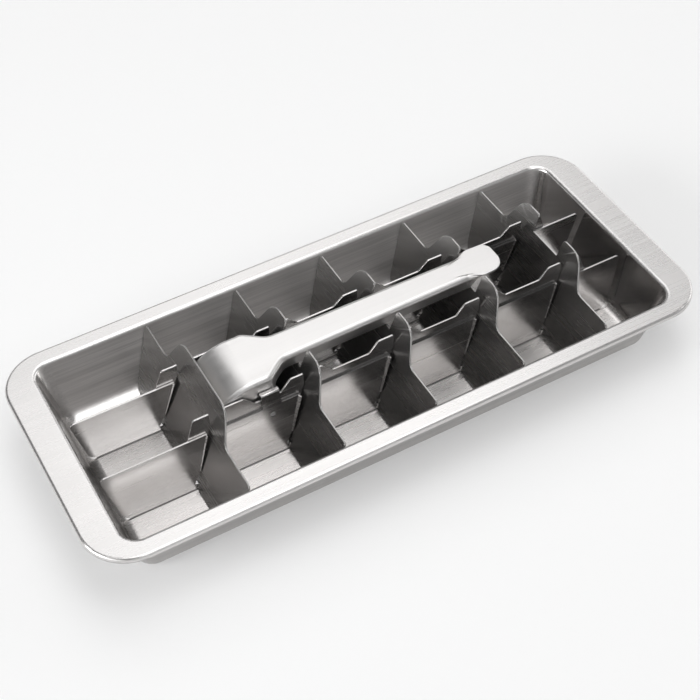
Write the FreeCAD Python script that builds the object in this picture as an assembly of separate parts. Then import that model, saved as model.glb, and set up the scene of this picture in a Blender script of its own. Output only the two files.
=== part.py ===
import FreeCAD, Part
import math
import os

# Lever ice cube tray in sheet steel: a drawn pan, and a lift-out grid with a release lever.
# All sizes are in millimetres. +X runs along the tray from the lever's head to its tongue,
# +Y across it and +Z up. The origin is the middle of the pan's underside.

# --- pan -------------------------------------------------------------------------------------
PAN_SHEET = 0.9            # thickness of the drawn sheet
PAN_DEPTH = 29.8           # top of the rim above the inside floor
MOUTH_LENGTH = 249.4       # the pan's mouth where the walls meet the rim, along X
MOUTH_WIDTH = 99.0         # the same, along Y
MOUTH_CORNER = 7.5         # corner radius of the walls
MOUTH_ROUND = 1.8          # rounding from the rim down into the walls
RIM_END = 14.0             # width of the rim at the ends of the tray
RIM_SIDE = 8.05            # width of the rim along its sides
RIM_CORNER = 20.0          # outer corner radius of the rim
RIM_LIP = 2.3              # how far the rim's edge is turned down
RIM_EDGE_ROUND = 1.3       # rounding of the turned-down edge
WALL_DRAFT = 12.0          # slope of the pan's walls from the vertical, degrees
FLOOR_ROUND = 6.0          # inside rounding from the walls into the floor

# --- grid: sheet, splay and rows -------------------------------------------------------------
GRID_SHEET = 0.8           # thickness of the dividers
SEAT_GAP = 0.1             # under the fixed dividers, which stand on the floor
SHEET_GAP = 0.2            # between a fixed divider and its slider
FIXED_FOOT_Y = 17.64       # middle of a fixed divider at the floor, from the centre line
DIVIDER_SPLAY = 4.4        # both long dividers lean inwards at the top by this, degrees
FIXED_HEIGHT = 27.7        # top of the fixed dividers above the floor
FIXED_END_GAP = 2.4        # from a fixed divider's ends to the pan's end walls
WEB_TOP = 3.0              # bottom of the slots: the web that ties each divider together

# --- cross dividers --------------------------------------------------------------------------
CROSS_COUNT = 5            # cross dividers, which make one more cell than this in each row
END_CELL_LOSS = 0.5        # the end cells' share of the mouth is shorter by this
CROSS_FOOT_X = -1.6        # where the middle one would meet the floor
CROSS_LEAN = 20.0          # their tops lean towards +X at rest, degrees from the vertical
LAST_CROSS_LEAN = 18.7     # the last one leans less
CROSS_SWING = 3.0          # how far the lever swings them back towards upright, degrees
CROSS_PIVOT_Z = 8.0        # height of the line that they rock about, above the floor
CROSS_FLOOR_GAP = 0.7      # under their lower edges
CROSS_WALL_GAP = 0.5       # from their ends to the pan's side walls
WING_HEIGHT = 29.6         # top of the outer wings
HUMP_HEIGHT = 43.4         # top of the humps over the long dividers
HUMP_FOOT_Y = 27.4         # where a hump starts to rise from its wing
HUMP_SHOULDER_Y = 20.2     # where its slope would reach the top
HUMP_ROUND = 8.0           # rounding of that shoulder
SADDLE_HEIGHT = 34.2       # low middle edge under the lever
LAST_SADDLE_HEIGHT = 35.3  # the same on the last one, past the lever's tongue
SADDLE_HALF = 8.7          # half the saddle's width at its bottom
SADDLE_FLARE = 0.4         # how much wider each side of the saddle is at the top
NOTCH_GAP = 0.6            # around the webs that a cross divider's lower notches straddle
SWING_GAP = 0.3            # between a cross divider and the slots that it moves in
SLOT_RELIEF = 1.5          # width of the eased foot on the slots' -X side
SLOT_RELIEF_TOP = 7.6      # top of that eased foot

# --- sliding dividers ------------------------------------------------------------------------
SLIDE_FOOT = 0.7           # their lower edge above the floor
SLIDE_LOW = 32.0           # top edge between the tabs
TAB_HEIGHT = 36.6          # top of the tabs beside each cross divider
TAB_RISE_START = -0.8      # the tab before a cross divider starts here, from that divider's foot
TAB_RISE_END = 3.6         # and reaches full height here
TAB_FALL_START = 19.3      # the tab after it starts to fall here
TAB_FALL_END = 23.7        # and has come down here
FIRST_TAB_EXTRA = 6.4      # the tab after the first cross divider runs on by this
SECOND_TAB_DELAY = 1.2     # and the one before the second starts later by this
PUSH_HEIGHT = 37.8         # the sliders push the cross dividers at this height, just over the tabs
END_TAB_SLOPE = 1.1        # X run of a slider's sloping ends for each 3 mm of height
TAB_SLOT_STRAIGHT = 31.0   # above this height a slider's slots have an upright -X side

# --- lever -----------------------------------------------------------------------------------
LEVER_SHEET = 1.0          # thickness of the lever
LEVER_Y = 0.93             # middle plane of the lever
LEVER_TOP = 41.0           # flat top of the lever above the floor
HINGE_BEFORE_CROSS = 4.7   # hinge line of the lever, before the second cross divider's foot
LEVER_PIVOT_Z = 23.0       # its height above the floor
LEVER_SWING = 85.0         # from lying flat to standing up, degrees
HEAD_HALF = 13.85          # half width of the head
HEAD_ROLL_START = 5.3      # the head's top starts to roll down this far behind the hinge line
HEAD_ROLL_RADIUS = 20.0    # radius of that roll
HEAD_REACH = 21.8          # where the rolled head ends, behind the hinge line
SHOULDER_START = 2.1       # the head starts to narrow here, in front of the hinge line
SHOULDER_END = 10.8        # and has become the handle here
HEAD_SHOULDER_ROUND = 5.0  # rounding where the head starts to narrow
HANDLE_SHOULDER_ROUND = 7.0  # rounding where it runs into the handle
HANDLE_HALF = 7.3          # half width of the handle beside the head
HANDLE_TIP_HALF = 6.4      # half width of the handle beside the tongue
HANDLE_FLANGE = 6.3        # height of the handle's channel
HANDLE_PAST_CROSS = 10.7   # where the handle's flanges end, past the fourth cross divider's foot
TONGUE_SPREAD = 6.7        # from there to where the tongue reaches its width
TONGUE_LENGTH = 17.5       # and to the tongue's tip
TONGUE_HALF = 8.2          # half width of the tongue
TONGUE_TAPER = 0.4         # and how much less that is at the tip
TONGUE_LAP = 3.0           # the tongue's sheet runs back into the handle's top by this
TONGUE_NEAR_CORNER = 6.8   # corner radius of the tongue's tip on its -Y side
TONGUE_FAR_CORNER = 4.3    # and on its +Y side
FLANGE_FULL = 1.0          # the channel keeps its full height this far past the handle's end
FLANGE_RISE = 4.0          # and has nearly run out into the tongue here
FLARE_INSET = 0.3          # the channel's flared end stays this far inside the tongue's edge
CHEEK_FRONT = 4.5          # +X edge of the deep cheeks, in front of the hinge line
CHEEK_EYE = 4.6            # radius of the cheeks around the hinge
FOLD_ROUND = 2.0           # rounding along the lever's folds
PIN_RADIUS = 1.25          # lever hinge pin
PIN_HOLE_GAP = 0.02        # around the pin in the fixed dividers, which hold it
PIN_RUN_GAP = 0.05         # around the pin in the lever, which turns on it
PIN_CHAMFER = 0.15         # on the pin's ends
PIN_INSET = 0.05           # the pin's ends lie this far inside the fixed dividers' faces
CAM_RADIUS = 4.1           # round cam on the near cheek, which moves the slider
CAM_GAP = 0.12             # between the cam and the sides of its slot
CAM_END_GAP = 0.35         # between the cam's end and the near fixed divider

# --- hook of the near fixed divider over its slider ------------------------------------------
HOOK_HALF = 4.0            # half the hook's length, over the lever's hinge line
HOOK_TOP = 35.0            # its top above the floor
HOOK_REACH = 0.32          # how far it passes over the slider's far face

FLOOR = PAN_SHEET
RIM_TOP = FLOOR + PAN_DEPTH
RIM_LENGTH = MOUTH_LENGTH + 2 * RIM_END
RIM_WIDTH = MOUTH_WIDTH + 2 * RIM_SIDE
CROSS_PITCH = (MOUTH_LENGTH - 2 * END_CELL_LOSS) / (CROSS_COUNT + 1)
SPLAY = math.tan(math.radians(DIVIDER_SPLAY))
DRAFT = math.tan(math.radians(WALL_DRAFT))
SHEET_PITCH = GRID_SHEET + SHEET_GAP
LEAN_SLOPE = math.tan(math.radians(CROSS_LEAN))
# How much the cross dividers' slope drops over the swing, the same for all of them.
SLOPE_DROP = LEAN_SLOPE - math.tan(math.radians(CROSS_LEAN - CROSS_SWING))
# The sliders move by as much as the cross dividers do at the height where they are pushed.
SLIDE_TRAVEL = (PUSH_HEIGHT - CROSS_PIVOT_Z) * SLOPE_DROP
# A cam whose middle swings evenly past the top of its circle gives that travel.
CAM_OFFSET = SLIDE_TRAVEL / 2 / math.sin(math.radians(LEVER_SWING / 2))
BIG = 2 * RIM_LENGTH


def vector(x, y, z):
    return FreeCAD.Vector(x, y, z)


def cross_foot(index):
    """X of a cross divider's middle plane at the floor, at rest."""
    return CROSS_FOOT_X + CROSS_PITCH * (index - (CROSS_COUNT - 1) / 2)


def cross_slope(index):
    """Run along X for each unit of height of a cross divider, at rest."""
    if index == CROSS_COUNT - 1:
        return math.tan(math.radians(LAST_CROSS_LEAN))
    return LEAN_SLOPE


def cross_pivot_x(index):
    return cross_foot(index) + CROSS_PIVOT_Z * cross_slope(index)


HINGE_X = cross_foot(1) - HINGE_BEFORE_CROSS
HINGE_Z = FLOOR + LEVER_PIVOT_Z
HEAD_END_X = HINGE_X - HEAD_REACH
HANDLE_END_X = cross_foot(3) + HANDLE_PAST_CROSS
TONGUE_END_X = HANDLE_END_X + TONGUE_LENGTH
# Angle that the head's top turns down through, to end at the head's reach.
HEAD_TURN = math.asin((HEAD_REACH - HEAD_ROLL_START) / HEAD_ROLL_RADIUS)


def rounded_wire(points, place):
    """Closed wire through (u, v, radius) corners, each rounded by its radius.

    place turns a pair (u, v) into a point of the model.
    """
    count = len(points)
    cuts = []
    for i in range(count):
        before = points[i - 1]
        here = points[i]
        after = points[(i + 1) % count]
        back = (before[0] - here[0], before[1] - here[1])
        ahead = (after[0] - here[0], after[1] - here[1])
        back_length = math.hypot(*back)
        ahead_length = math.hypot(*ahead)
        back = (back[0] / back_length, back[1] / back_length)
        ahead = (ahead[0] / ahead_length, ahead[1] / ahead_length)
        half = math.acos(max(-1.0, min(1.0, back[0] * ahead[0] + back[1] * ahead[1]))) / 2
        radius = here[2]
        if radius <= 0 or abs(half - math.pi / 2) < 1e-6:
            cuts.append((here[:2], None, here[:2]))
            continue
        reach = radius / math.tan(half)
        start = (here[0] + back[0] * reach, here[1] + back[1] * reach)
        end = (here[0] + ahead[0] * reach, here[1] + ahead[1] * reach)
        middle = (back[0] + ahead[0], back[1] + ahead[1])
        middle_length = math.hypot(*middle)
        depth = radius / math.sin(half) - radius
        top = (here[0] + middle[0] / middle_length * depth, here[1] + middle[1] / middle_length * depth)
        cuts.append((start, top, end))
    edges = []
    for i in range(count):
        start, top, end = cuts[i]
        if top is not None:
            edges.append(Part.Arc(place(*start), place(*top), place(*end)).toShape())
        next_start = cuts[(i + 1) % count][0]
        if math.dist(end, next_start) > 1e-6:
            edges.append(Part.LineSegment(place(*end), place(*next_start)).toShape())
    return Part.Wire(edges)


def plate(points, place, direction):
    """Solid of a rounded outline, swept along a direction."""
    return Part.Face(rounded_wire(points, place)).extrude(direction)


def in_side_view(points, y_from, y_to):
    """Solid from an outline in X and Z, between two planes across the tray."""
    return plate(points, lambda x, z: vector(x, y_from, z), vector(0, y_to - y_from, 0))


def in_plan(points, z_from, z_to):
    """Solid from an outline in X and Y, between two heights."""
    return plate(points, lambda x, y: vector(x, y, z_from), vector(0, 0, z_to - z_from))


def rectangle(length, width, radius):
    """Corners of a rounded rectangle centred on the origin."""
    x = length / 2
    y = width / 2
    return [(-x, -y, radius), (x, -y, radius), (x, y, radius), (-x, y, radius)]


def edges_at(shape, height, inside=None):
    """Edges that lie at a height, and whose middle is inside the given half sizes."""
    found = []
    for edge in shape.Edges:
        box = edge.BoundBox
        if abs(box.ZMin - height) > 1e-4 or abs(box.ZMax - height) > 1e-4:
            continue
        middle = edge.CenterOfMass
        if inside is None or (abs(middle.x) < inside[0] and abs(middle.y) < inside[1]):
            found.append(edge)
    return found


# ---------------------------------------------------------------------------------------------
# Pan
# ---------------------------------------------------------------------------------------------
def pan_half_width(height):
    """Inside half width of the pan at a height above the floor."""
    return MOUTH_WIDTH / 2 - (PAN_DEPTH - height) * DRAFT


def pan_half_length(height):
    return MOUTH_LENGTH / 2 - (PAN_DEPTH - height) * DRAFT


def drafted_tub(grow, bottom, top):
    """Rounded tub between two levels, grown outwards from the pan's inside."""
    wires = []
    for level in (bottom, top):
        length = 2 * (pan_half_length(level - FLOOR) + grow)
        width = 2 * (pan_half_width(level - FLOOR) + grow)
        corners = rectangle(length, width, MOUTH_CORNER + grow)
        wires.append(rounded_wire(corners, lambda x, y: vector(x, y, level)))
    tub = Part.makeLoft(wires, True, True)
    return tub.makeFillet(FLOOR_ROUND + grow, edges_at(tub, bottom))


def make_pan():
    """Drawn pan: sloping walls, a flat rim and its edge turned down."""
    lip = RIM_TOP - RIM_LIP
    under_top = RIM_TOP - PAN_SHEET
    rim = in_plan(rectangle(RIM_LENGTH, RIM_WIDTH, RIM_CORNER), lip, RIM_TOP)
    rim = rim.makeFillet(RIM_EDGE_ROUND, edges_at(rim, RIM_TOP))
    inner = rectangle(RIM_LENGTH - 2 * PAN_SHEET, RIM_WIDTH - 2 * PAN_SHEET, RIM_CORNER - PAN_SHEET)
    under = in_plan(inner, lip, under_top)
    under = under.makeFillet(RIM_EDGE_ROUND - PAN_SHEET, edges_at(under, under_top))
    wall = PAN_SHEET / math.cos(math.radians(WALL_DRAFT))
    body = drafted_tub(wall, 0.0, RIM_TOP).fuse(rim.cut(under)).removeSplitter()
    mouth = (MOUTH_LENGTH / 2 + 2 * wall, MOUTH_WIDTH / 2 + 2 * wall)
    body = body.makeFillet(MOUTH_ROUND - PAN_SHEET, edges_at(body, under_top, mouth))
    pan = body.cut(drafted_tub(0.0, FLOOR, RIM_TOP))
    return pan.makeFillet(MOUTH_ROUND, edges_at(pan, RIM_TOP, mouth))


# ---------------------------------------------------------------------------------------------
# Cross dividers
# ---------------------------------------------------------------------------------------------
def cross_section(index, travel, grow, low, high):
    """Outline in X and Z that one cross divider sweeps, seen from a sheet that moves by travel."""
    half = GRID_SHEET / 2 * math.hypot(1, LEAN_SLOPE) + grow

    def at_rest(z):
        return cross_pivot_x(index) + (z - CROSS_PIVOT_Z) * cross_slope(index)

    def at_end(z):
        return at_rest(z) + travel - (z - CROSS_PIVOT_Z) * SLOPE_DROP

    crossing = CROSS_PIVOT_Z + travel / SLOPE_DROP
    levels = [low, high]
    if low < crossing < high:
        levels = [low, crossing, high]
    left = [(min(at_rest(z), at_end(z)) - half, FLOOR + z, 0) for z in levels]
    right = [(max(at_rest(z), at_end(z)) + half, FLOOR + z, 0) for z in levels]
    return left + right[::-1]


def foot_relief(index):
    """Eased foot on the -X side of a slot, which keeps the cross divider's foot free."""
    def side(z):
        return cross_foot(index) + z * cross_slope(index) - GRID_SHEET / 2

    return [
        (side(WEB_TOP) - SLOT_RELIEF, FLOOR + WEB_TOP, 0),
        (side(WEB_TOP) + GRID_SHEET / 2, FLOOR + WEB_TOP, 0),
        (side(SLOT_RELIEF_TOP) + GRID_SHEET / 2, FLOOR + SLOT_RELIEF_TOP, 0),
        (side(SLOT_RELIEF_TOP) - SLOT_RELIEF / 2, FLOOR + SLOT_RELIEF_TOP, 0.6),
    ]


def make_cross_divider(index):
    """One cross divider, drawn upright in its own plane and leant about its pivot line.

    The first has a raised straight middle that the lever's head works against. The others have
    a low saddle there, which the lever's handle lies in.
    """
    slope = cross_slope(index)
    saddle = LAST_SADDLE_HEIGHT if index == CROSS_COUNT - 1 else SADDLE_HEIGHT

    def up(height):
        """Distance from the pivot line, in the sheet, of a height above the floor."""
        return (height - CROSS_PIVOT_Z) * math.hypot(1, slope)

    low = CROSS_FLOOR_GAP
    side_low = pan_half_width(low) - CROSS_WALL_GAP
    side_high = pan_half_width(WING_HEIGHT) - CROSS_WALL_GAP
    wing = [
        (side_low, up(low), FLOOR_ROUND + 1.0),
        (side_high, up(WING_HEIGHT), 1.6),
        (HUMP_FOOT_Y, up(WING_HEIGHT), 4.5),
        (HUMP_SHOULDER_Y, up(HUMP_HEIGHT), HUMP_ROUND),
    ]
    outline = list(wing)
    if index > 0:
        outline += [
            (SADDLE_HALF + SADDLE_FLARE, up(HUMP_HEIGHT), 1.5),
            (SADDLE_HALF, up(saddle), 0.4),
            (-SADDLE_HALF, up(saddle), 0.4),
            (-SADDLE_HALF - SADDLE_FLARE, up(HUMP_HEIGHT), 1.5),
        ]
    outline += [(-y, z, radius) for y, z, radius in wing[::-1]]
    pivot = vector(cross_pivot_x(index), 0, FLOOR + CROSS_PIVOT_Z)
    back = pivot.x - GRID_SHEET / 2
    sheet = plate(outline, lambda y, z: vector(back, y, pivot.z + z), vector(GRID_SHEET, 0, 0))
    for side in (-1, 1):
        middle = side * divider_y(WEB_TOP / 2) + SHEET_PITCH / 2
        half = SHEET_PITCH / 2 + GRID_SHEET / 2 + NOTCH_GAP
        top = pivot.z + up(WEB_TOP) + NOTCH_GAP
        notch = Part.makeBox(2 * BIG, 2 * half, BIG, vector(-BIG, middle - half, top - BIG))
        sheet = sheet.cut(notch)
    sheet.rotate(pivot, vector(0, 1, 0), math.degrees(math.atan(slope)))
    return sheet


# ---------------------------------------------------------------------------------------------
# Long dividers
# ---------------------------------------------------------------------------------------------
def divider_y(height):
    """Distance of a fixed divider's middle from the centre line, at a height above the floor."""
    return FIXED_FOOT_Y - height * SPLAY


def long_sheet(points, side, offset):
    """Upright outline in X and Z made a sheet, leant inwards, on one side of the centre line.

    side is -1 for the near divider and +1 for the far one; offset moves the sheet along +Y.
    """
    middle = side * FIXED_FOOT_Y + offset
    sheet = in_side_view(points, middle - GRID_SHEET / 2, middle + GRID_SHEET / 2)
    sheet.rotate(vector(0, middle, FLOOR), vector(1, 0, 0), side * DIVIDER_SPLAY)
    return sheet


def cut_across(sheet, points):
    """Cut an outline in X and Z out of a sheet, straight through along Y."""
    return sheet.cut(in_side_view(points, -BIG / 2, BIG / 2))


def hinge_bore(radius):
    """Cylinder along the lever's hinge line, right across the tray."""
    return Part.makeCylinder(radius, BIG, vector(HINGE_X, -BIG / 2, HINGE_Z), vector(0, 1, 0))


def make_hook():
    """Tab that the near fixed divider folds over its slider, to keep the slider down."""
    width = 2 * HOOK_HALF
    foot_y = -divider_y(HOOK_TOP) - GRID_SHEET / 2
    length = SHEET_PITCH + GRID_SHEET + HOOK_REACH
    corners = [
        (foot_y, FLOOR + HOOK_TOP, GRID_SHEET * 0.9),
        (foot_y + length, FLOOR + HOOK_TOP, 0.25),
        (foot_y + length, FLOOR + HOOK_TOP - GRID_SHEET, 0),
        (foot_y, FLOOR + HOOK_TOP - GRID_SHEET, 0),
    ]
    start = HINGE_X - HOOK_HALF
    return plate(corners, lambda y, z: vector(start, y, z), vector(width, 0, 0))


def make_fixed_divider(side):
    """Low full-length divider that stands on the floor and carries the cross dividers."""
    foot = SEAT_GAP
    low_end = pan_half_length(foot) - FIXED_END_GAP
    high_end = pan_half_length(FIXED_HEIGHT) - FIXED_END_GAP
    top = FLOOR + FIXED_HEIGHT
    lug_start = HINGE_X - HOOK_HALF
    lug_end = HINGE_X + HOOK_HALF
    lug_top = FLOOR + HOOK_TOP - GRID_SHEET / 2
    lug = [(lug_end, top, 0.6), (lug_end, lug_top, 0), (lug_start, lug_top, 0), (lug_start, top, 0.6)]
    outline = [
        (-low_end, FLOOR + foot, FLOOR_ROUND),
        (low_end, FLOOR + foot, FLOOR_ROUND),
        (high_end, top, 1.5),
    ]
    outline += lug if side < 0 else []
    outline += [(-high_end, top, 1.5)]
    sheet = long_sheet(outline, side, 0.0)
    if side < 0:
        sheet = sheet.fuse(make_hook()).removeSplitter()
    for index in range(CROSS_COUNT):
        sheet = cut_across(sheet, cross_section(index, 0.0, SWING_GAP, WEB_TOP, FIXED_HEIGHT + 2))
        sheet = cut_across(sheet, foot_relief(index))
    return sheet.cut(hinge_bore(PIN_RADIUS + PIN_HOLE_GAP))


def tab_outline():
    """Top edge of a slider from -X to +X, with a tab on each side of every cross divider."""
    low = FLOOR + SLIDE_LOW
    high = FLOOR + TAB_HEIGHT
    edge = []
    for index in range(CROSS_COUNT):
        foot = cross_foot(index)
        extra = FIRST_TAB_EXTRA if index == 0 else 0.0
        delay = SECOND_TAB_DELAY if index == 1 else 0.0
        if index > 0:
            edge.append((foot + TAB_RISE_START + delay, low, 1.0))
        edge.append((foot + TAB_RISE_END + delay, high, 1.2))
        edge.append((foot + TAB_FALL_START + extra, high, 1.2))
        if index < CROSS_COUNT - 1:
            edge.append((foot + TAB_FALL_END + extra, low, 1.0))
    return edge


def make_slide_divider(side):
    """Taller sliding divider on the +Y face of a fixed one, whose slots tip the cross dividers."""
    edge = tab_outline()
    foot = FLOOR + SLIDE_FOOT
    drop = (TAB_HEIGHT - SLIDE_FOOT) / 3 * END_TAB_SLOPE
    outline = [(edge[0][0] - drop, foot, 2.0)] + edge + [(edge[-1][0] + drop, foot, 2.0)]
    sheet = long_sheet(outline, side, SHEET_PITCH)
    above = TAB_HEIGHT + 2
    for index in range(CROSS_COUNT):
        slot = cross_section(index, SLIDE_TRAVEL, SWING_GAP, WEB_TOP, above)
        sheet = cut_across(sheet, slot)
        sheet = cut_across(sheet, foot_relief(index))
        slope = cross_slope(index)
        upright = cross_foot(index) + TAB_SLOT_STRAIGHT * slope - GRID_SHEET / 2 - SWING_GAP
        lead = [
            (upright, FLOOR + TAB_SLOT_STRAIGHT, 0),
            (upright + above * slope / 2, FLOOR + above, 0),
            (upright, FLOOR + above, 0),
        ]
        sheet = cut_across(sheet, lead)
    if side < 0:
        sheet = cut_across(sheet, cam_slot())
    return sheet


def cam_centre():
    """X and Z of the cam's middle at rest; it swings evenly past the top of its circle."""
    start = math.radians(90 - LEVER_SWING / 2)
    return HINGE_X + CAM_OFFSET * math.cos(start), HINGE_Z + CAM_OFFSET * math.sin(start)


def cam_slot():
    """Upright slot in the near slider that the lever's cam works in."""
    x, z = cam_centre()
    low = z - CAM_RADIUS - SWING_GAP
    high = HINGE_Z + CAM_OFFSET + CAM_RADIUS + SWING_GAP
    half = CAM_RADIUS + CAM_GAP
    corners = [(x - half, low), (x + half, low), (x + half, high), (x - half, high)]
    return [(u, v, CAM_RADIUS / 2) for u, v in corners]


# ---------------------------------------------------------------------------------------------
# Lever
# ---------------------------------------------------------------------------------------------
def lever_block(inset, bottom):
    """Side view of the lever's top and rolled head made a solid, down to the given height."""
    top = FLOOR + LEVER_TOP - inset
    radius = HEAD_ROLL_RADIUS - inset
    centre_x = HINGE_X - HEAD_ROLL_START
    centre_z = FLOOR + LEVER_TOP - HEAD_ROLL_RADIUS

    def rolled(turn):
        """Point on the head's roll, at an angle from its top."""
        return vector(centre_x - radius * math.sin(turn), 0, centre_z + radius * math.cos(turn))

    end = rolled(HEAD_TURN)
    start = rolled(0)
    far = TONGUE_END_X + 1
    edges = [
        Part.Arc(end, rolled(HEAD_TURN / 2), start).toShape(),
        Part.LineSegment(start, vector(far, 0, top)).toShape(),
        Part.LineSegment(vector(far, 0, top), vector(far, 0, bottom)).toShape(),
        Part.LineSegment(vector(far, 0, bottom), vector(end.x, 0, bottom)).toShape(),
        Part.LineSegment(vector(end.x, 0, bottom), end).toShape(),
    ]
    face = Part.Face(Part.Wire(edges))
    face.translate(vector(0, LEVER_Y - HEAD_HALF - 1, 0))
    return face.extrude(vector(0, 2 * HEAD_HALF + 2, 0))


def lever_plan(inset, bottom, top):
    """Plan view of the lever without its tongue, made a solid between two heights."""
    wide = HEAD_HALF - inset
    narrow = HANDLE_HALF - inset
    tip = HANDLE_TIP_HALF - inset
    start = HEAD_END_X - 2
    half = [
        (start, wide, 0),
        (HINGE_X + SHOULDER_START, wide, HEAD_SHOULDER_ROUND - inset),
        (HINGE_X + SHOULDER_END, narrow, HANDLE_SHOULDER_ROUND + inset),
        (HANDLE_END_X, tip, 3.0 + inset),
        (HANDLE_END_X + TONGUE_SPREAD, TONGUE_HALF - FLARE_INSET - inset, 0),
    ]
    outline = [(x, LEVER_Y + y, r) for x, y, r in half]
    outline += [(x, LEVER_Y - y, r) for x, y, r in half[::-1]]
    return in_plan(outline, bottom, top)


def folded_top(solid, height, radius):
    """Round the long top edges of the lever's form."""
    chosen = []
    for edge in solid.Edges:
        middle = edge.valueAt((edge.FirstParameter + edge.LastParameter) / 2)
        flat = edge.BoundBox.YLength < 1e-6 or abs(middle.z - height) < 1e-3
        across = edge.BoundBox.XLength < 1e-6
        high = middle.z > FLOOR + LEVER_TOP - HEAD_ROLL_RADIUS * 0.6
        if high and flat and not across and edge.BoundBox.ZMax > height - 0.01:
            chosen.append(edge)
    return solid.makeFillet(radius, chosen)


def make_lever():
    """Release lever: one folded sheet with a rolled head, a channel handle and a flat tongue."""
    top = FLOOR + LEVER_TOP
    handle_low = top - HANDLE_FLANGE
    low = FLOOR + LEVER_PIVOT_Z - CHEEK_EYE - 1
    outer = lever_block(0.0, low).common(lever_plan(0.0, low, top + 1))
    outer = folded_top(outer, top, FOLD_ROUND)
    inner = lever_block(LEVER_SHEET, low - 1).common(lever_plan(LEVER_SHEET, low - 1, top + 1))
    inner = folded_top(inner, top - LEVER_SHEET, FOLD_ROUND - LEVER_SHEET)
    shell = outer.cut(inner)

    flare_end = HANDLE_END_X + TONGUE_SPREAD - FLARE_INSET
    roll_end_z = top - HEAD_ROLL_RADIUS * (1 - math.cos(HEAD_TURN)) - LEVER_SHEET / 2
    keep = [
        (HEAD_END_X - 2, top + 1, 0),
        (HEAD_END_X - 2, roll_end_z, 0),
        (HEAD_END_X + 2.5, roll_end_z, 3.0),
        (HINGE_X - CHEEK_EYE, HINGE_Z + 1.0, 3.0),
        (HINGE_X - CHEEK_EYE, HINGE_Z - CHEEK_EYE, CHEEK_EYE * 0.99),
        (HINGE_X + CHEEK_FRONT, HINGE_Z - CHEEK_EYE, CHEEK_EYE * 0.95),
        (HINGE_X + CHEEK_FRONT, handle_low, 1.6),
        (HANDLE_END_X + FLANGE_FULL, handle_low, 2.0),
        (HANDLE_END_X + FLANGE_RISE, top - 2 * LEVER_SHEET, 2.0),
        (flare_end, top - LEVER_SHEET, 0),
        (flare_end, top + 1, 0),
    ]
    wide = HEAD_HALF + 1
    shell = shell.common(in_side_view(keep, LEVER_Y - wide, LEVER_Y + wide))

    flat = HANDLE_TIP_HALF - FOLD_ROUND
    half = [
        (HANDLE_END_X - TONGUE_LAP, flat, 0),
        (HANDLE_END_X, flat + 0.2, 3.0),
        (HANDLE_END_X + TONGUE_SPREAD, TONGUE_HALF, 3.0),
    ]
    tip = TONGUE_HALF - TONGUE_TAPER
    outline = [(x, LEVER_Y + y, r) for x, y, r in half]
    outline += [(TONGUE_END_X, LEVER_Y + tip, TONGUE_FAR_CORNER)]
    outline += [(TONGUE_END_X, LEVER_Y - tip, TONGUE_NEAR_CORNER)]
    outline += [(x, LEVER_Y - y, r) for x, y, r in half[::-1]]
    tongue = in_plan(outline, top - LEVER_SHEET, top)
    lever = shell.fuse(tongue).removeSplitter()

    cam_x, cam_z = cam_centre()
    cam_top = LEVER_PIVOT_Z + CAM_OFFSET + CAM_RADIUS
    cam_end = -divider_y(cam_top) + GRID_SHEET / 2 + CAM_END_GAP
    cam_length = LEVER_Y - HEAD_HALF + LEVER_SHEET / 2 - cam_end
    cam = Part.makeCylinder(CAM_RADIUS, cam_length, vector(cam_x, cam_end, cam_z), vector(0, 1, 0))
    lever = lever.fuse(cam).removeSplitter()
    return lever.cut(hinge_bore(PIN_RADIUS + PIN_RUN_GAP))


def make_pin():
    """Hinge pin of the lever, held flush in the two fixed dividers."""
    end = divider_y(LEVER_PIVOT_Z) + GRID_SHEET / 2 - PIN_INSET
    pin = Part.makeCylinder(PIN_RADIUS, 2 * end, vector(HINGE_X, -end, HINGE_Z), vector(0, 1, 0))
    return pin.makeChamfer(PIN_CHAMFER, [edge for edge in pin.Edges if edge.BoundBox.YLength < 1e-6])


def main():
    """Build each piece and write it to its own file."""
    os.makedirs("parts", exist_ok=True)
    pieces = {
        "tray_pan": make_pan(),
        "near_fixed_divider": make_fixed_divider(-1),
        "far_fixed_divider": make_fixed_divider(1),
        "near_slide_divider": make_slide_divider(-1),
        "far_slide_divider": make_slide_divider(1),
        "release_lever": make_lever(),
        "lever_pivot_pin": make_pin(),
    }
    for index in range(CROSS_COUNT):
        pieces[f"cross_divider_{index + 1}"] = make_cross_divider(index)
    for name, shape in pieces.items():
        if shape.ShapeType == "Compound" and len(shape.Solids) == 1:
            shape = shape.Solids[0]
        shape.exportStep(f"parts/{name}.step")
        box = shape.BoundBox
        print(f"{name}: {len(shape.Solids)} solid, valid {shape.isValid()}, volume {shape.Volume:.1f},"
              f" x {box.XMin:.2f}..{box.XMax:.2f} y {box.YMin:.2f}..{box.YMax:.2f}"
              f" z {box.ZMin:.2f}..{box.ZMax:.2f}")
    print(f"slide travel {SLIDE_TRAVEL:.4f} mm, cam offset {CAM_OFFSET:.4f} mm")


main()
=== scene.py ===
import logging
import math
from dataclasses import dataclass
from enum import Enum
from typing import Mapping, Sequence

import bpy
from mathutils import Matrix, Vector


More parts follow.
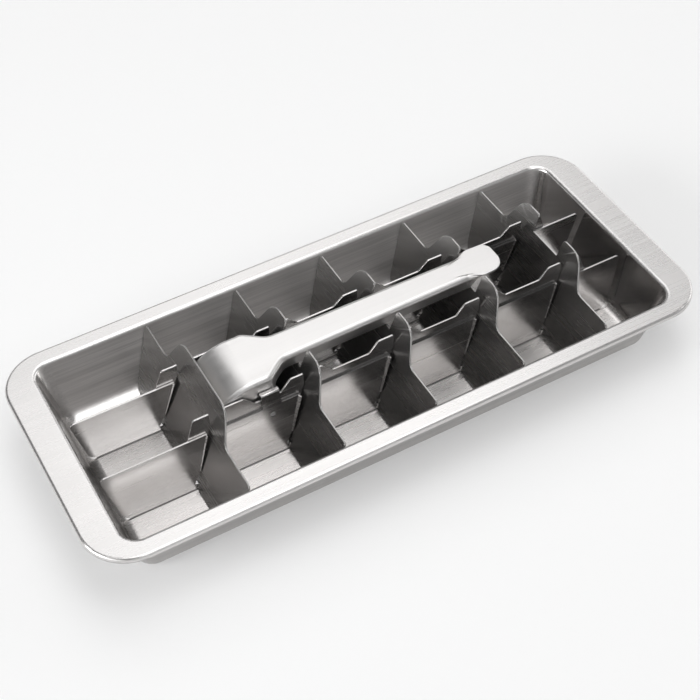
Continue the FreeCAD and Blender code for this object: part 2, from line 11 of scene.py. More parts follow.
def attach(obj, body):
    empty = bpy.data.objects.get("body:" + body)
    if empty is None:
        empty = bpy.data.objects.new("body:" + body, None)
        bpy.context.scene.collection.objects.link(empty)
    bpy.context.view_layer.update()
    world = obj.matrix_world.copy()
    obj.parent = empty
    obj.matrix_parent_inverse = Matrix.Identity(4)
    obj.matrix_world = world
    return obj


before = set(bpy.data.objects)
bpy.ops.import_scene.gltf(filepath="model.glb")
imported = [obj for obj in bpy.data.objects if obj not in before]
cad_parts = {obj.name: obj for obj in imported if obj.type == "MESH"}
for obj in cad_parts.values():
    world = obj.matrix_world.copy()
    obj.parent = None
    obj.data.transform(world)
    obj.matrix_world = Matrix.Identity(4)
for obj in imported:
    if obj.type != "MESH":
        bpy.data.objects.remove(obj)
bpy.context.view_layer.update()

LOG = logging.getLogger("ice_cube_tray")
MM = 0.001

Colour = tuple[float, float, float]
Point = tuple[float, float, float]
Size = tuple[float, float]

WHITE: Colour = (1.0, 1.0, 1.0)


# ---------------------------------------------------------------------------------------------
# Shader maths
# ---------------------------------------------------------------------------------------------
class Grain(Enum):
    """Direction that a sheet was brushed in, as stretch factors for its X, Y and Z."""

    ALONG = (0.012, 1.0, 1.0)
    ACROSS = (1.0, 0.012, 1.0)


class Sock:
    """An output socket that can be used in plain arithmetic.

    Every operator adds one node to the same tree. A three-number tuple is a vector or colour.
    """

    def __init__(self, shader: "Shader", output: bpy.types.NodeSocket) -> None:
        """Keep the shader that owns the node tree, and the output that this stands for."""
        self.shader = shader
        self.output = output

    @property
    def is_vector(self) -> bool:
        """Whether the socket carries three numbers."""
        return self.output.type in {"VECTOR", "RGBA"}

    def _maths(self, operation: str, *values: "Sock | float | Colour") -> "Sock":
        """Add a Math node, or a Vector Math node where any value has three numbers.

        Args:
            operation: the node's operation, such as "ADD".
            values: its inputs, in order.

        Returns:
            The node's result.
        """
        wide = any(isinstance(v, tuple) or (isinstance(v, Sock) and v.is_vector) for v in values)
        kind = "ShaderNodeVectorMath" if wide else "ShaderNodeMath"
        spread = [(v, v, v) if wide and isinstance(v, (int, float)) else v for v in values]
        return self.shader.node(kind, {"operation": operation}, dict(enumerate(spread)))

    def __add__(self, other: "Sock | float | Colour") -> "Sock":
        """Sum."""
        return self._maths("ADD", self, other)

    def __radd__(self, other: "float | Colour") -> "Sock":
        """Sum with a plain value in front."""
        return self._maths("ADD", other, self)

    def __sub__(self, other: "Sock | float | Colour") -> "Sock":
        """Difference."""
        return self._maths("SUBTRACT", self, other)

    def __rsub__(self, other: "float | Colour") -> "Sock":
        """Difference from a plain value."""
        return self._maths("SUBTRACT", other, self)

    def __mul__(self, other: "Sock | float | Colour") -> "Sock":
        """Product."""
        return self._maths("MULTIPLY", self, other)

    def __rmul__(self, other: "float | Colour") -> "Sock":
        """Product with a plain value in front."""
        return self._maths("MULTIPLY", other, self)

    def __abs__(self) -> "Sock":
        """Size without the sign."""
        return self._maths("ABSOLUTE", self)

    def clamp(self) -> "Sock":
        """The value held between 0 and 1."""
        return self.shader.node("ShaderNodeClamp", {}, {"Value": self})

    def part(self, axis: str) -> "Sock":
        """One number of a vector, "X", "Y" or "Z"."""
        return self.shader.node("ShaderNodeSeparateXYZ", {}, {"Vector": self}, axis)

    def ramp(self, low: float, high: float, start: float = 0.0, end: float = 1.0) -> "Sock":
        """Map one span smoothly onto another, and hold the value beyond its ends.

        Args:
            low: value that gives start.
            high: value that gives end, above or below low.
            start: result at low.
            end: result at high.

        Returns:
            The mapped value.
        """
        inputs = {"Value": self, "From Min": low, "From Max": high, "To Min": start, "To Max": end}
        settings = {"interpolation_type": "SMOOTHSTEP"}
        return self.shader.node("ShaderNodeMapRange", settings, inputs, "Result")

    def mix(self, low: "Sock | Colour", high: "Sock | Colour") -> "Sock":
        """Mix two colours by this value."""
        inputs = {"Factor": self, "A": low, "B": high}
        return self.shader.node("ShaderNodeMix", {"data_type": "RGBA"}, inputs, "Result")


class Shader:
    """Node tree of one material or world, with one way to add a node."""

    def __init__(self, owner: bpy.types.Material | bpy.types.World) -> None:
        """Empty the owner's tree and keep it."""
        owner.use_nodes = True
        self.tree = owner.node_tree
        self.tree.nodes.clear()

    def node(
        self,
        kind: str,
        settings: Mapping[str, object],
        inputs: Mapping[str | int, object],
        output: str | int = 0,
    ) -> Sock:
        """Add a node.

        Args:
            kind: the node's type name.
            settings: the node's own properties.
            inputs: each input by name or number, as a plain value or a Sock.
            output: the output to return, by name or number.

        Returns:
            That output, ready for arithmetic.
        """
        made = self.tree.nodes.new(kind)
        for name, value in settings.items():
            setattr(made, name, value)
        for key, value in inputs.items():
            socket = self._input(made, key)
            if isinstance(value, Sock):
                self.tree.links.new(value.output, socket)
            elif isinstance(value, tuple) and socket.type == "RGBA":
                socket.default_value = (*value[:3], 1.0)
            else:
                socket.default_value = value
        return Sock(self, self._output(made, output))

    @staticmethod
    def _input(made: bpy.types.Node, key: str | int) -> bpy.types.NodeSocket:
        """Find an input that is in use.

        Args:
            made: the node.
            key: the input's name or number.

        Returns:
            The input.
        """
        if isinstance(key, int):
            return made.inputs[key]
        return next(s for s in made.inputs if s.name == key and s.enabled)

    @staticmethod
    def _output(made: bpy.types.Node, key: str | int) -> bpy.types.NodeSocket:
        """Find an output that is in use.

        Args:
            made: the node.
            key: the output's name or number.

        Returns:
            The output.
        """
        if isinstance(key, int):
            return [s for s in made.outputs if s.enabled][key]
        return next(s for s in made.outputs if s.name == key and s.enabled)

    def place(self) -> Sock:
        """Position on the piece, in millimetres of the row frame."""
        return self.node("ShaderNodeTexCoord", {}, {}, "Object") * (1 / MM)

    def facing(self) -> Sock:
        """Direction that the surface faces, before any bump."""
        return self.node("ShaderNodeNewGeometry", {}, {}, "Normal")

    def noise(self, at: Sock, scale: float, detail: float = 2.0, rough: float = 0.5) -> Sock:
        """Soft noise from 0 to 1."""
        inputs = {"Vector": at, "Scale": scale, "Detail": detail, "Roughness": rough}
        return self.node("ShaderNodeTexNoise", {"noise_dimensions": "3D"}, inputs, 0)

    def vector(self, x: Sock, y: Sock, z: Sock) -> Sock:
        """Three numbers as one vector."""
        return self.node("ShaderNodeCombineXYZ", {}, {"X": x, "Y": y, "Z": z})

    def finish(self, surface: Sock) -> None:
        """Join the surface, or a world's background, to the tree's output."""
        world = surface.output.node.type == "BACKGROUND"
        kind = "ShaderNodeOutputWorld" if world else "ShaderNodeOutputMaterial"
        self.tree.links.new(surface.output, self.tree.nodes.new(kind).inputs["Surface"])


# ---------------------------------------------------------------------------------------------
# Finishes
# ---------------------------------------------------------------------------------------------
# Widths and depth of the bands of brushed lines, over those of one line.
BAND_WIDTH = 6
BROAD_WIDTH = 40
BAND_DEPTH = 0.6
# Weights of lines, bands and broad bands in the sheet's tone.
STREAK_WEIGHTS = (0.7, 0.8, 0.5)
# Noise that gives the smoothest and the roughest band.
BAND_SPAN = (0.25, 0.75)
# Each direction of scratches, as its turn in radians and its stretch, their scale and the noise
# where a scratch starts and where it is full.
SCRATCHES = ((0.5, 0.03), (-0.35, 0.05))
SCRATCH_SCALE = 2.2
SCRATCH_SPAN = (0.74, 0.80)
# How far a surface's direction is along an axis: from where it starts to count to where it fully
# does, for walls that keep the grain, for steep walls, for faces that look down and for edges
# that look up.
GRAIN_WALL = (0.25, 0.8)
STEEP_WALL = (0.6, 0.9)
LOOKING_DOWN = (-0.16, -0.04)
LOOKING_UP = (0.4, 0.7)


@dataclass(frozen=True)
class BrushedSteel:
    """Stainless sheet with a brushed grain, faint scratches, handling marks and worn edges.

    Attributes:
        name: the material's name.
        colour: of the clean sheet.
        grain: direction that it was brushed in.
        smooth: roughness of its smoothest bands.
        rough: roughness of its roughest bands.
        line_width: of the brushed lines, mm.
        line_depth: of the brushed lines, mm.
        streak: how much the lines differ in tone.
        smudge: how much handling changes the roughness.
        lean: X run of the grain for each mm of height, on sheet that leans.
        underside_shade: painted shade on surfaces that face down, under the rim, as the tone that
            they are darkened to.
        wall_haze: how much rougher the walls that face -Y are, which scatter light up and down.
        wall_streak: how much more the lines differ in tone on walls that run along the sheet.
        end_polish: how much smoother the walls that face along the tray are.
        edge_round: radius that worn edges are shaded with, mm.
        bright_scratch: how much lighter a scratch is.
        scratch_depth: of a scratch, mm.
        print_size: of the marks that hands left, mm.
    """

    name: str
    colour: Colour
    grain: Grain = Grain.ALONG
    smooth: float = 0.24
    rough: float = 0.38
    line_width: float = 0.30
    line_depth: float = 0.010
    streak: float = 0.10
    smudge: float = 0.05
    lean: float = 0.0
    underside_shade: float = 1.0
    wall_haze: float = 0.0
    wall_streak: float = 0.0
    end_polish: float = 0.0
    edge_round: float = 0.18
    bright_scratch: float = 0.05
    scratch_depth: float = 0.0015
    print_size: float = 26.0

    def grain_place(self, shader: Shader) -> Sock:
        """Position with the grain's direction drawn out.

        Sheet that was bent up keeps the grain of the flat sheet, so height counts only on the
        walls that run along the grain.

        Args:
            shader: the tree to work in.

        Returns:
            The position, for noise that makes lines along the grain.
        """
        at = shader.place()
        stretched = at * self.grain.value
        if self.grain is not Grain.ALONG:
            x = (at.part("X") - at.part("Z") * self.lean) * self.grain.value[0]
            return shader.vector(x, stretched.part("Y"), stretched.part("Z"))
        side_wall = abs(shader.facing().part("Y")).ramp(*GRAIN_WALL)
        z = at.part("Z") * side_wall
        return shader.vector(stretched.part("X"), stretched.part("Y"), z)

    def material(self) -> bpy.types.Material:
        """Build the finish as a node material.

        Returns:
            The material, ready for a material slot.
        """
        made = bpy.data.materials.new(self.name)
        shader = Shader(made)
        at = shader.place()
        along = self.grain_place(shader)
        hairlines = shader.noise(along, 1 / self.line_width, 2.0, 0.6)
        bands = shader.noise(along, 1 / (BAND_WIDTH * self.line_width), 3.0, 0.6)
        broad = shader.noise(along, 1 / (BROAD_WIDTH * self.line_width), 2.0, 0.5)
        scratched = self._scratches(shader, at)
        fine, middle, wide = STREAK_WEIGHTS
        streaks = (hairlines - 0.5) * fine + (bands - 0.5) * middle + (broad - 0.5) * wide
        side_wall = abs(shader.facing().part("Y")).ramp(*STEEP_WALL)
        contrast = self.streak + side_wall * self.wall_streak
        tone = 1.0 + streaks * contrast + scratched * self.bright_scratch
        # Painted shade multiplies the tone: faces that look down, and on standing sheet its foot
        # and part of its top edge.
        tone = tone * self.painted_shade(shader, at)
        height = hairlines * self.line_depth + bands * (BAND_DEPTH * self.line_depth)
        height = height - scratched * self.scratch_depth
        inputs = {
            "Base Color": shader.vector(tone, tone, tone) * self.colour,
            "Metallic": 1.0,
            "Roughness": self._roughness(shader, at, bands),
            "Normal": self._relief(shader, height),
        }
        shader.finish(shader.node("ShaderNodeBsdfPrincipled", {}, inputs))
        return made

    def _roughness(self, shader: Shader, at: Sock, bands: Sock) -> Sock:
        """Roughness of the brushed bands, the handling marks and the walls.

        Args:
            shader: the tree to work in.
            at: position on the piece, mm.
            bands: noise of the bands of brushed lines.

        Returns:
            The roughness, from 0 to 1.
        """
        handled = shader.noise(at, 1 / self.print_size, 3.0, 0.55)
        span = self.rough - self.smooth
        sheet = self.smooth + span * bands.ramp(*BAND_SPAN) + (handled - 0.5) * self.smudge
        start, full = STEEP_WALL
        hazy = sheet + shader.facing().part("Y").ramp(-start, -full) * self.wall_haze
        polished = abs(shader.facing().part("X")).ramp(start, full) * self.end_polish
        return (hazy - polished).clamp()

    def _relief(self, shader: Shader, height: Sock) -> Sock:
        """Direction that the surface faces with its relief and worn edges.

        Args:
            shader: the tree to work in.
            height: of the relief, mm.

        Returns:
            The direction, for a shader's normal.
        """
        worn = {"Radius": self.edge_round * MM}
        rounded = shader.node("ShaderNodeBevel", {"samples": 4}, worn)
        inputs = {"Height": height * MM, "Distance": 1.0, "Strength": 1.0, "Normal": rounded}
        return shader.node("ShaderNodeBump", {}, inputs)

    def painted_shade(self, shader: Shader, at: Sock) -> Sock:
        """Painted shade on surfaces that face down, as a tone that is 1 where none is painted."""
        return shader.facing().part("Z").ramp(*LOOKING_DOWN, self.underside_shade, 1.0)

    @staticmethod
    def _scratches(shader: Shader, at: Sock) -> Sock:
        """Sparse fine scratches in two directions.

        Args:
            shader: the tree to work in.
            at: position on the piece, mm.

        Returns:
            0 where there is none and 1 in a scratch.
        """
        lines = []
        for turn, stretch in SCRATCHES:
            c, s = math.cos(turn), math.sin(turn)
            x = at.part("X") * c + at.part("Y") * s
            y = at.part("Y") * c - at.part("X") * s
            bent = shader.vector(x * stretch, y, at.part("Z"))
            lines.append(shader.noise(bent, SCRATCH_SCALE, 1.0, 0.5).ramp(*SCRATCH_SPAN))
        first, second = lines
        return (first + second).clamp()


@dataclass(frozen=True)
class StandingSteel(BrushedSteel):
    """Brushed sheet that stands on the pan's floor, with a painted contact shadow along its foot
    and painted shade on part of its top edge.

    Attributes:
        foot_shade_top: height that the painted contact shadow at its foot reaches, mm.
        foot_shade: the tone of that painted shadow.
        edge_shade_middle: X of the middle of the part of the top edge with painted shade, mm.
        edge_shade_half: half the length of that part, mm.
        edge_shade_top: nothing above this height gets the painted shade, mm.
        edge_shade: its tone, painted where the edge reflects the darker face of the slider beside
            it.
        foot_shade_blur, edge_shade_blur: how softly each painted shade ends, mm.
    """

    foot_shade_top: float = 1.7
    foot_shade: float = 0.3
    edge_shade_middle: float = 7.0
    edge_shade_half: float = 82.0
    edge_shade_top: float = 31.0
    edge_shade: float = 0.35
    foot_shade_blur: float = 0.3
    edge_shade_blur: float = 1.0

    def painted_shade(self, shader: Shader, at: Sock) -> Sock:
        """Painted shade: a contact shadow along the foot and a dark reflection on the top edge.

        Args:
            shader: the tree to work in.
            at: position on the piece, mm.

        Returns:
            The tone, 1 where no shade is painted.
        """
        # Painted contact shadow along the foot, where the sheet meets the pan's floor.
        foot_shade_start = self.foot_shade_top - self.foot_shade_blur
        foot = at.part("Z").ramp(foot_shade_start, self.foot_shade_top, self.foot_shade, 1.0)
        # Painted shade on the up-facing top edge, standing in for the darker slider face that it
        # reflects.
        off_middle = abs(at.part("X") - self.edge_shade_middle)
        between = off_middle.ramp(self.edge_shade_half + self.edge_shade_blur, self.edge_shade_half - self.edge_shade_blur)
        under = at.part("Z").ramp(self.edge_shade_top + self.edge_shade_blur, self.edge_shade_top)
        edge = shader.facing().part("Z").ramp(*LOOKING_UP) * between * under
        return foot * (1.0 - edge * (1 - self.edge_shade))


@dataclass(frozen=True)
class StudioFloor:
    """Matt white sheet that the tray stands on.

    Attributes:
        name: the material's name.
        colour: of the sheet.
        fibre_tone: tone of its fibres over that colour.
        fibre_size: of its fibres, mm.
        glow: share of its whiteness that is its own.
    """

    name: str = "studio_floor"
    colour: Colour = (0.95, 0.95, 0.95)
    fibre_tone: float = 0.99
    fibre_size: float = 4.0
    glow: float = 0.25

    def material(self) -> bpy.types.Material:
        """Build the floor's material.

        Part of its whiteness is its own for the camera and in reflections; the rest is lit, so
        that it keeps the tray's shadow.

        Returns:
            The material, ready for a material slot.
        """
        made = bpy.data.materials.new(self.name)
        shader = Shader(made)
        paper = shader.noise(shader.place(), 1 / self.fibre_size, 3.0, 0.5)
        shade = paper.mix(self.colour, tuple(self.fibre_tone * c for c in self.colour))
        lit = shader.node("ShaderNodeBsdfDiffuse", {}, {"Color": shade, "Roughness": 0.4})
        white = shader.node("ShaderNodeEmission", {}, {"Color": WHITE, "Strength": 1.0})
        camera = shader.node("ShaderNodeLightPath", {}, {}, "Is Camera Ray")
        glossy = shader.node("ShaderNodeLightPath", {}, {}, "Is Glossy Ray")
        through = shader.node("ShaderNodeLightPath", {}, {}, "Is Transmission Ray")
        seen = (camera + glossy + through).clamp() * self.glow
        shader.finish(shader.node("ShaderNodeMixShader", {}, {0: seen, 1: lit, 2: white}))
        return made


# ---------------------------------------------------------------------------------------------
# Sub-assemblies
# ---------------------------------------------------------------------------------------------
@dataclass
class SheetAssembly:
    """A group of the frame's nodes that share a finish.

    Attributes:
        nodes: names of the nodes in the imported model.
        finish: what their sheet looks like.
        edge: width of the softened cut edge, mm.
        edge_angle: only edges sharper than this are softened, degrees.
        edge_steps: bands that a softened edge is made of.
        weld: points nearer than this are joined first, mm.
    """

    nodes: Sequence[str]
    finish: BrushedSteel
    edge: float = 0.12
    edge_angle: float = 40.0
    edge_steps: int = 2
    weld: float = 0.002

    def build(self) -> list[bpy.types.Object]:
        """Give each node its finish and its softened edges.

        Returns:
            The objects that were dressed.
        """
        material = self.finish.material()
        dressed = []
        for name in self.nodes:
            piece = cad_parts[name]
            for slot in piece.material_slots:
                slot.material = material
            self.soften(piece)
            dressed.append(piece)
        return dressed

    def soften(self, piece: bpy.types.Object) -> None:
        """Join the piece's faces and break its sharp edges with a small bevel.

        Args:
            piece: the node's object.
        """
        weld = piece.modifiers.new("weld", "WELD")
        weld.merge_threshold = self.weld * MM
        bevel = piece.modifiers.new("cut_edges", "BEVEL")
        bevel.width = self.edge * MM
        bevel.segments = self.edge_steps
        bevel.limit_method = "ANGLE"
        bevel.angle_limit = math.radians(self.edge_angle)
        bevel.harden_normals = True
        bevel.use_clamp_overlap = False


@dataclass
class Pan(SheetAssembly):
    """Drawn pan, brushed along the tray."""

    nodes: Sequence[str] = ("tray_pan",)
    finish: BrushedSteel = BrushedSteel(
        name="pan_brushed",
        colour=(0.72, 0.705, 0.697),
        smooth=0.25,
        rough=0.31,
        line_width=0.22,
        line_depth=0.0018,
        streak=0.14,
        # Faces that look down get painted shade at this tone.
        underside_shade=0.74,
        wall_haze=0.25,
        wall_streak=0.45,
        end_polish=0.10,
    )
    edge: float = 0.2


@dataclass
class FixedDividers(SheetAssembly):
    """Two low dividers that stand on the floor."""

    nodes: Sequence[str] = ("near_fixed_divider", "far_fixed_divider")
    # This finish paints a contact shadow along the foot and shade on the top edge.
    finish: BrushedSteel = StandingSteel(
        name="fixed_brushed",
        colour=(0.62, 0.607, 0.60),
        smooth=0.16,
        rough=0.28,
        line_width=0.22,
        line_depth=0.004,
        streak=0.06,
        edge_round=0.05,
    )
    edge: float = 0.05


@dataclass
class SlotLips:
    """Narrow lips that the fixed dividers turn out beside their slots, towards the near side.

    Attributes:
        finish: what they look like.
        first_foot: X where the first cross divider would meet the floor, mm.
        pitch: from there to the next one, mm.
        leans: X run of each cross divider for each mm of height.
        swing: how much less the slots' edges lean, which leaves the dividers room to rock.
        pivot: height of the line that they rock about, above the floor, mm.
        half_slot: from a slot's middle to its edge at that height, mm.
        floor: height of the pan's floor, mm.
        foot_y: distance of the fixed dividers from the centre line at the floor, mm.
        splay: how much less that is for each mm of height.
        half_sheet: from the middle of their sheet to its face, mm.
        low, high: ends of the lips above the floor, mm.
        taper: size of the lower end over that of the upper end.
        section: outline across a lip, as X from the slot's edge and distance from the face, mm.
        sizes: of each lip over that outline.
    """

    finish: BrushedSteel = BrushedSteel(
        name="lip_brushed",
        colour=(0.66, 0.647, 0.64),
        smooth=0.20,
        rough=0.30,
        line_width=0.22,
        line_depth=0.002,
        streak=0.06,
    )
    first_foot: float = -84.4
    pitch: float = 41.4
    leans: tuple[float, ...] = (0.364, 0.364, 0.364, 0.364, 0.3385)
    swing: float = 0.0582
    pivot: float = 8.0
    half_slot: float = 0.726
    floor: float = 0.9
    foot_y: float = 17.64
    splay: float = 0.0769
    half_sheet: float = 0.401
    low: float = 9.5
    high: float = 27.2
    taper: float = 0.5
    section: tuple[Size, ...] = ((-1.15, -0.1), (-0.05, 1.3), (0.0, 0.75), (-0.5, -0.1))
    sizes: tuple[float, ...] = (0.45, 1.0, 1.0, 0.7, 0.5)

    def build(self) -> list[bpy.types.Object]:
        """Make one piece for each fixed divider, with a lip beside every slot.

        Returns:
            The near divider's lips and the far one's.
        """
        material = self.finish.material()
        sides = {"near_slot_lips": -1, "far_slot_lips": 1}
        return [self._row(name, side, material) for name, side in sides.items()]

    def _row(self, name: str, side: int, material: bpy.types.Material) -> bpy.types.Object:
        """Make the lips of one divider.

        Args:
            name: the piece's name.
            side: -1 for the near divider and 1 for the far one.
            material: of the piece.

        Returns:
            The piece, riding on the grid.
        """
        points: list[Point] = []
        faces: list[tuple[int, ...]] = []
        count = len(self.section)
        for index, size in enumerate(self.sizes):
            low = len(points)
            high = low + count
            points += self._ring(index, side, self.low, size * self.taper)
            points += self._ring(index, side, self.high, size)
            faces.append(tuple(low + k for k in reversed(range(count))))
            faces.append(tuple(high + k for k in range(count)))
            for k in range(count):
                j = (k + 1) % count
                faces.append((low + k, low + j, high + j, high + k))
        mesh = bpy.data.meshes.new(name)
        mesh.from_pydata([tuple(MM * v for v in point) for point in points], [], faces)
        mesh.materials.append(material)
        row = bpy.data.objects.new(name, mesh)
        bpy.context.collection.objects.link(row)
        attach(row, "grid")
        return row

    def _ring(self, index: int, side: int, height: float, scale: float) -> list[Point]:
        """Find the points round one lip at one height.

        Args:
            index: the slot's number, from 0.
            side: -1 for the near divider and 1 for the far one.
            height: above the floor, mm.
            scale: size over the outline's.

        Returns:
            The points, mm.
        """
        lean = self.leans[index]
        pivot_x = self.first_foot + self.pitch * index + self.pivot * lean
        edge_x = pivot_x + (height - self.pivot) * (lean - self.swing) - self.half_slot
        face_y = side * (self.foot_y - height * self.splay) - self.half_sheet
        z = self.floor + height
        return [(edge_x + scale * along, face_y - scale * out, z) for along, out in self.section]


@dataclass
class SlideDividers(SheetAssembly):
    """Two sliding dividers with tabs beside every cross divider."""

    nodes: Sequence[str] = ("near_slide_divider", "far_slide_divider")
    finish: BrushedSteel = BrushedSteel(
        name="slide_brushed",
        colour=(0.66, 0.647, 0.64),
        smooth=0.16,
        rough=0.28,
        line_width=0.22,
        line_depth=0.004,
        streak=0.06,
    )


@dataclass
class CrossDividers(SheetAssembly):
    """Cross dividers, which rock when the lever is raised."""

    count: int = 5
    nodes: Sequence[str] = ()
    finish: BrushedSteel = BrushedSteel(
        name="cross_brushed",
        colour=(0.44, 0.432, 0.425),
        grain=Grain.ACROSS,
        lean=0.364,
        smooth=0.24,
        rough=0.28,
        line_width=0.22,
        line_depth=0.0006,
        streak=0.06,
    )

    def __post_init__(self) -> None:
        """Name the nodes from their count."""
        self.nodes = tuple(f"cross_divider_{i + 1}" for i in range(self.count))


@dataclass
class Lever(SheetAssembly):
    """Release lever with a satin top."""

    nodes: Sequence[str] = ("release_lever",)
    finish: BrushedSteel = BrushedSteel(
        name="lever_satin",
        colour=(0.76, 0.747, 0.738),
        smooth=0.32,
        rough=0.42,
        line_width=0.25,
        line_depth=0.005,
        streak=0.12,
    )
    edge: float = 0.2


@dataclass
class HingePin(SheetAssembly):
    """Pin that the lever turns on."""

    nodes: Sequence[str] = ("lever_pivot_pin",)
    finish: BrushedSteel = BrushedSteel(
        name="pin_satin", colour=(0.60, 0.60, 0.60), grain=Grain.ACROSS, smooth=0.25, rough=0.36
    )
    edge: float = 0.05


# ---------------------------------------------------------------------------------------------
# Studio
# ---------------------------------------------------------------------------------------------
# The camera's sensor, mm, and the nearest and farthest that it sees, metres.
SENSOR = 36.0
CLIP = (0.01, 60.0)


@dataclass
class Viewpoint:
    """Camera, placed by the direction that it looks back along and what it looks at.

    Attributes:
        azimuth: turn of the camera round the tray, degrees, 0 looking along +Y.
        elevation: height of the camera over the horizon, degrees.
        roll: turn of the picture about the line of sight, degrees.
        distance: from the target, mm.
        target: point in the middle of the picture, mm.
        lens: focal length, mm.
    """

    azimuth: float = -27.72
    elevation: float = 47.92
    roll: float = -1.97
    distance: float = 628.44
    target: Point = (5.27, 16.82, 0.9)
    lens: float = 74.08

    def build(self) -> bpy.types.Object:
        """Make the camera and hand it to the scene.

        Returns:
            The camera.
        """
        a, e, t = (math.radians(v) for v in (self.azimuth, self.elevation, self.roll))
        back = Vector((math.sin(a) * math.cos(e), -math.cos(a) * math.cos(e), math.sin(e)))
        right = (-back).cross(Vector((0, 0, 1))).normalized()
        up = right.cross(-back)
        tilted_right = math.cos(t) * right + math.sin(t) * up
        tilted_up = math.cos(t) * up - math.sin(t) * right
        turn = Matrix((tilted_right, tilted_up, back)).transposed().to_4x4()
        place = (Vector(self.target) + self.distance * back) * MM
        data = bpy.data.cameras.new("camera")
        data.lens = self.lens
        data.sensor_width = SENSOR
        data.clip_start, data.clip_end = CLIP
        camera = bpy.data.objects.new("camera", data)
        camera.matrix_world = Matrix.Translation(place) @ turn
        bpy.context.collection.objects.link(camera)
        bpy.context.scene.camera = camera
        return camera


@dataclass
class SoftBox:
    """Large flat lamp on a dome over the tray, facing its middle.

    Attributes:
        name: the lamp's name.
        azimuth: where it hangs, degrees from +X towards +Y.
        elevation: how high it hangs, degrees over the floor.
        size: its two sides, metres.
        brightness: how bright its face looks, 1 being white.
        distance: radius of the dome, metres.
    """

    name: str
    azimuth: float
    elevation: float
    size: Size
    brightness: float
    distance: float

    def build(self) -> bpy.types.Object:
        """Make the lamp.

        Returns:
            The lamp.
        """
        a, e = math.radians(self.azimuth), math.radians(self.elevation)
        across = math.cos(e)
        place = self.distance * Vector((math.cos(a) * across, math.sin(a) * across, math.sin(e)))
        data = bpy.data.lights.new(self.name, "AREA")
        data.shape = "RECTANGLE"
        data.size, data.size_y = self.size
        data.energy = self.brightness * math.pi * self.size[0] * self.size[1]
        lamp = bpy.data.objects.new(self.name, data)
        lamp.location = place
        lamp.rotation_euler = (-place).to_track_quat("-Z", "Y").to_euler()
        bpy.context.collection.objects.link(lamp)
        return lamp


@dataclass
class Ring:
    """Soft boxes that hang at one height over the floor.

    Attributes:
        name: start of the lamps' names.
        elevation: how high they hang, degrees over the floor.
        size: two sides of each, metres.
        brightness: of each, by its azimuth in degrees.
        distance: radius of the dome, metres.
    """

    name: str
    elevation: float
    size: Size
    brightness: Mapping[int, float]
    distance: float = 1.6

    def boxes(self) -> list[SoftBox]:
        """List the ring's soft boxes.

        Returns:
            The boxes, in the order of their brightness table.
        """
        return [
            SoftBox(
                f"{self.name}_{azimuth}",
                azimuth,
                self.elevation,
                self.size,
                brightness,
                self.distance,
            )
            for azimuth, brightness in self.brightness.items()
        ]


# The dome's soft boxes: three rings from the floor up, a few that hang nearer, and the top one.
CLOSE_BOX: Size = (0.28, 0.28)
CLOSE_DISTANCE = 0.75
RINGS = (
    Ring("low", 22, (0.78, 0.62), {0: 1.64, 30: 1.27, 180: 5.11, 210: 1.94}),
    Ring("mid", 45, (0.59, 0.62), {30: 0.50, 60: 1.16, 90: 0.68, 180: 0.65, 270: 1.66}),
    Ring("high", 68, (0.47, 0.60), {0: 0.91, 45: 2.32, 90: 0.78, 180: 0.96}),
    Ring("close_28", 28, CLOSE_BOX, {180: 1.68}, CLOSE_DISTANCE),
    Ring("close_35", 35, CLOSE_BOX, {330: 0.38}, CLOSE_DISTANCE),
    Ring("close_55", 55, CLOSE_BOX, {90: 0.55}, CLOSE_DISTANCE),
    Ring("close_68", 68, CLOSE_BOX, {270: 1.31, 300: 1.47}, CLOSE_DISTANCE),
    Ring("zenith", 89.9, (0.55, 0.55), {0: 2.84}),
)


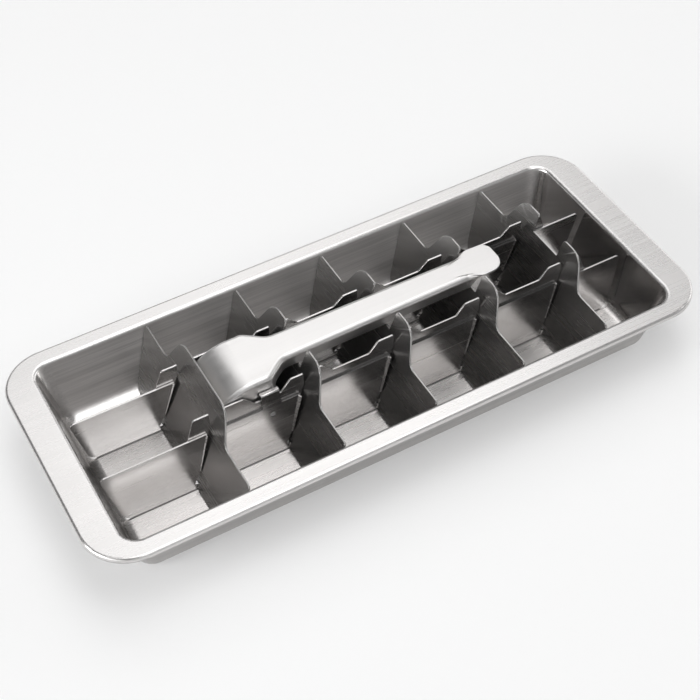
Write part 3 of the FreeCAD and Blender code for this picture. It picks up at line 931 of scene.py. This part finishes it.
@dataclass
class Studio:
    """White sweep that curves up all round, a dome of soft boxes and a dim room above.

    Attributes:
        floor_radius: where the floor starts to curve up, metres.
        wall_radius: how far out the sweep ends, metres.
        wall_height: how high it ends, metres.
        floor_drop: gap under the tray, mm.
        curve_steps: bands that the curve is made of.
        around: sides of the round floor.
        room: brightness of the room above the sweep.
        rings: the soft boxes.
    """

    floor_radius: float = 2.6
    wall_radius: float = 3.4
    wall_height: float = 1.0
    floor_drop: float = 0.3
    curve_steps: int = 12
    around: int = 96
    room: float = 0.2
    rings: Sequence[Ring] = RINGS

    def build(self) -> list[bpy.types.Object]:
        """Make the sweep, the lamps and the world.

        Returns:
            The sweep and the lamps.
        """
        self._world()
        return [self._sweep(), *(box.build() for ring in self.rings for box in ring.boxes())]

    def _sweep(self) -> bpy.types.Object:
        """Make the round floor, whose rim curves up into a low wall.

        Returns:
            The sweep.
        """
        reach = self.wall_radius - self.floor_radius
        profile = [(self.floor_radius, 0.0)]
        for step in range(1, self.curve_steps + 1):
            turn = math.radians(90 * step / self.curve_steps)
            across = self.floor_radius + reach * math.sin(turn)
            profile.append((across, self.wall_height * (1 - math.cos(turn))))
        turns = [2 * math.pi * i / self.around for i in range(self.around)]
        z = -self.floor_drop * MM
        points = [(r * math.cos(a), r * math.sin(a), z + h) for r, h in profile for a in turns]
        faces = [tuple(range(self.around))]
        for band in range(self.curve_steps):
            low = band * self.around
            high = low + self.around
            for i in range(self.around):
                j = (i + 1) % self.around
                faces.append((low + j, low + i, high + i, high + j))
        mesh = bpy.data.meshes.new("sweep")
        mesh.from_pydata(points, [], faces)
        for face in mesh.polygons:
            face.use_smooth = True
        mesh.materials.append(StudioFloor().material())
        sweep = bpy.data.objects.new("sweep", mesh)
        bpy.context.collection.objects.link(sweep)
        return sweep

    def _world(self) -> None:
        """Dim plain room, the same in every direction."""
        world = bpy.data.worlds.new("room")
        bpy.context.scene.world = world
        shader = Shader(world)
        inputs = {"Color": WHITE, "Strength": self.room}
        shader.finish(shader.node("ShaderNodeBackground", {}, inputs))


def main() -> None:
    """Dress the tray's pieces, then light and frame them."""
    logging.basicConfig(level=logging.INFO, format="%(message)s")
    scene = bpy.context.scene
    scene.view_settings.view_transform = "Standard"
    grid = (FixedDividers(), SlotLips(), SlideDividers(), CrossDividers(), HingePin())
    assemblies = (Pan(), *grid, Lever())
    for assembly in assemblies:
        for piece in assembly.build():
            LOG.info("%s: %s", type(assembly).__name__, piece.name)
    Studio().build()
    Viewpoint().build()


if __name__ == "__main__":
    main()
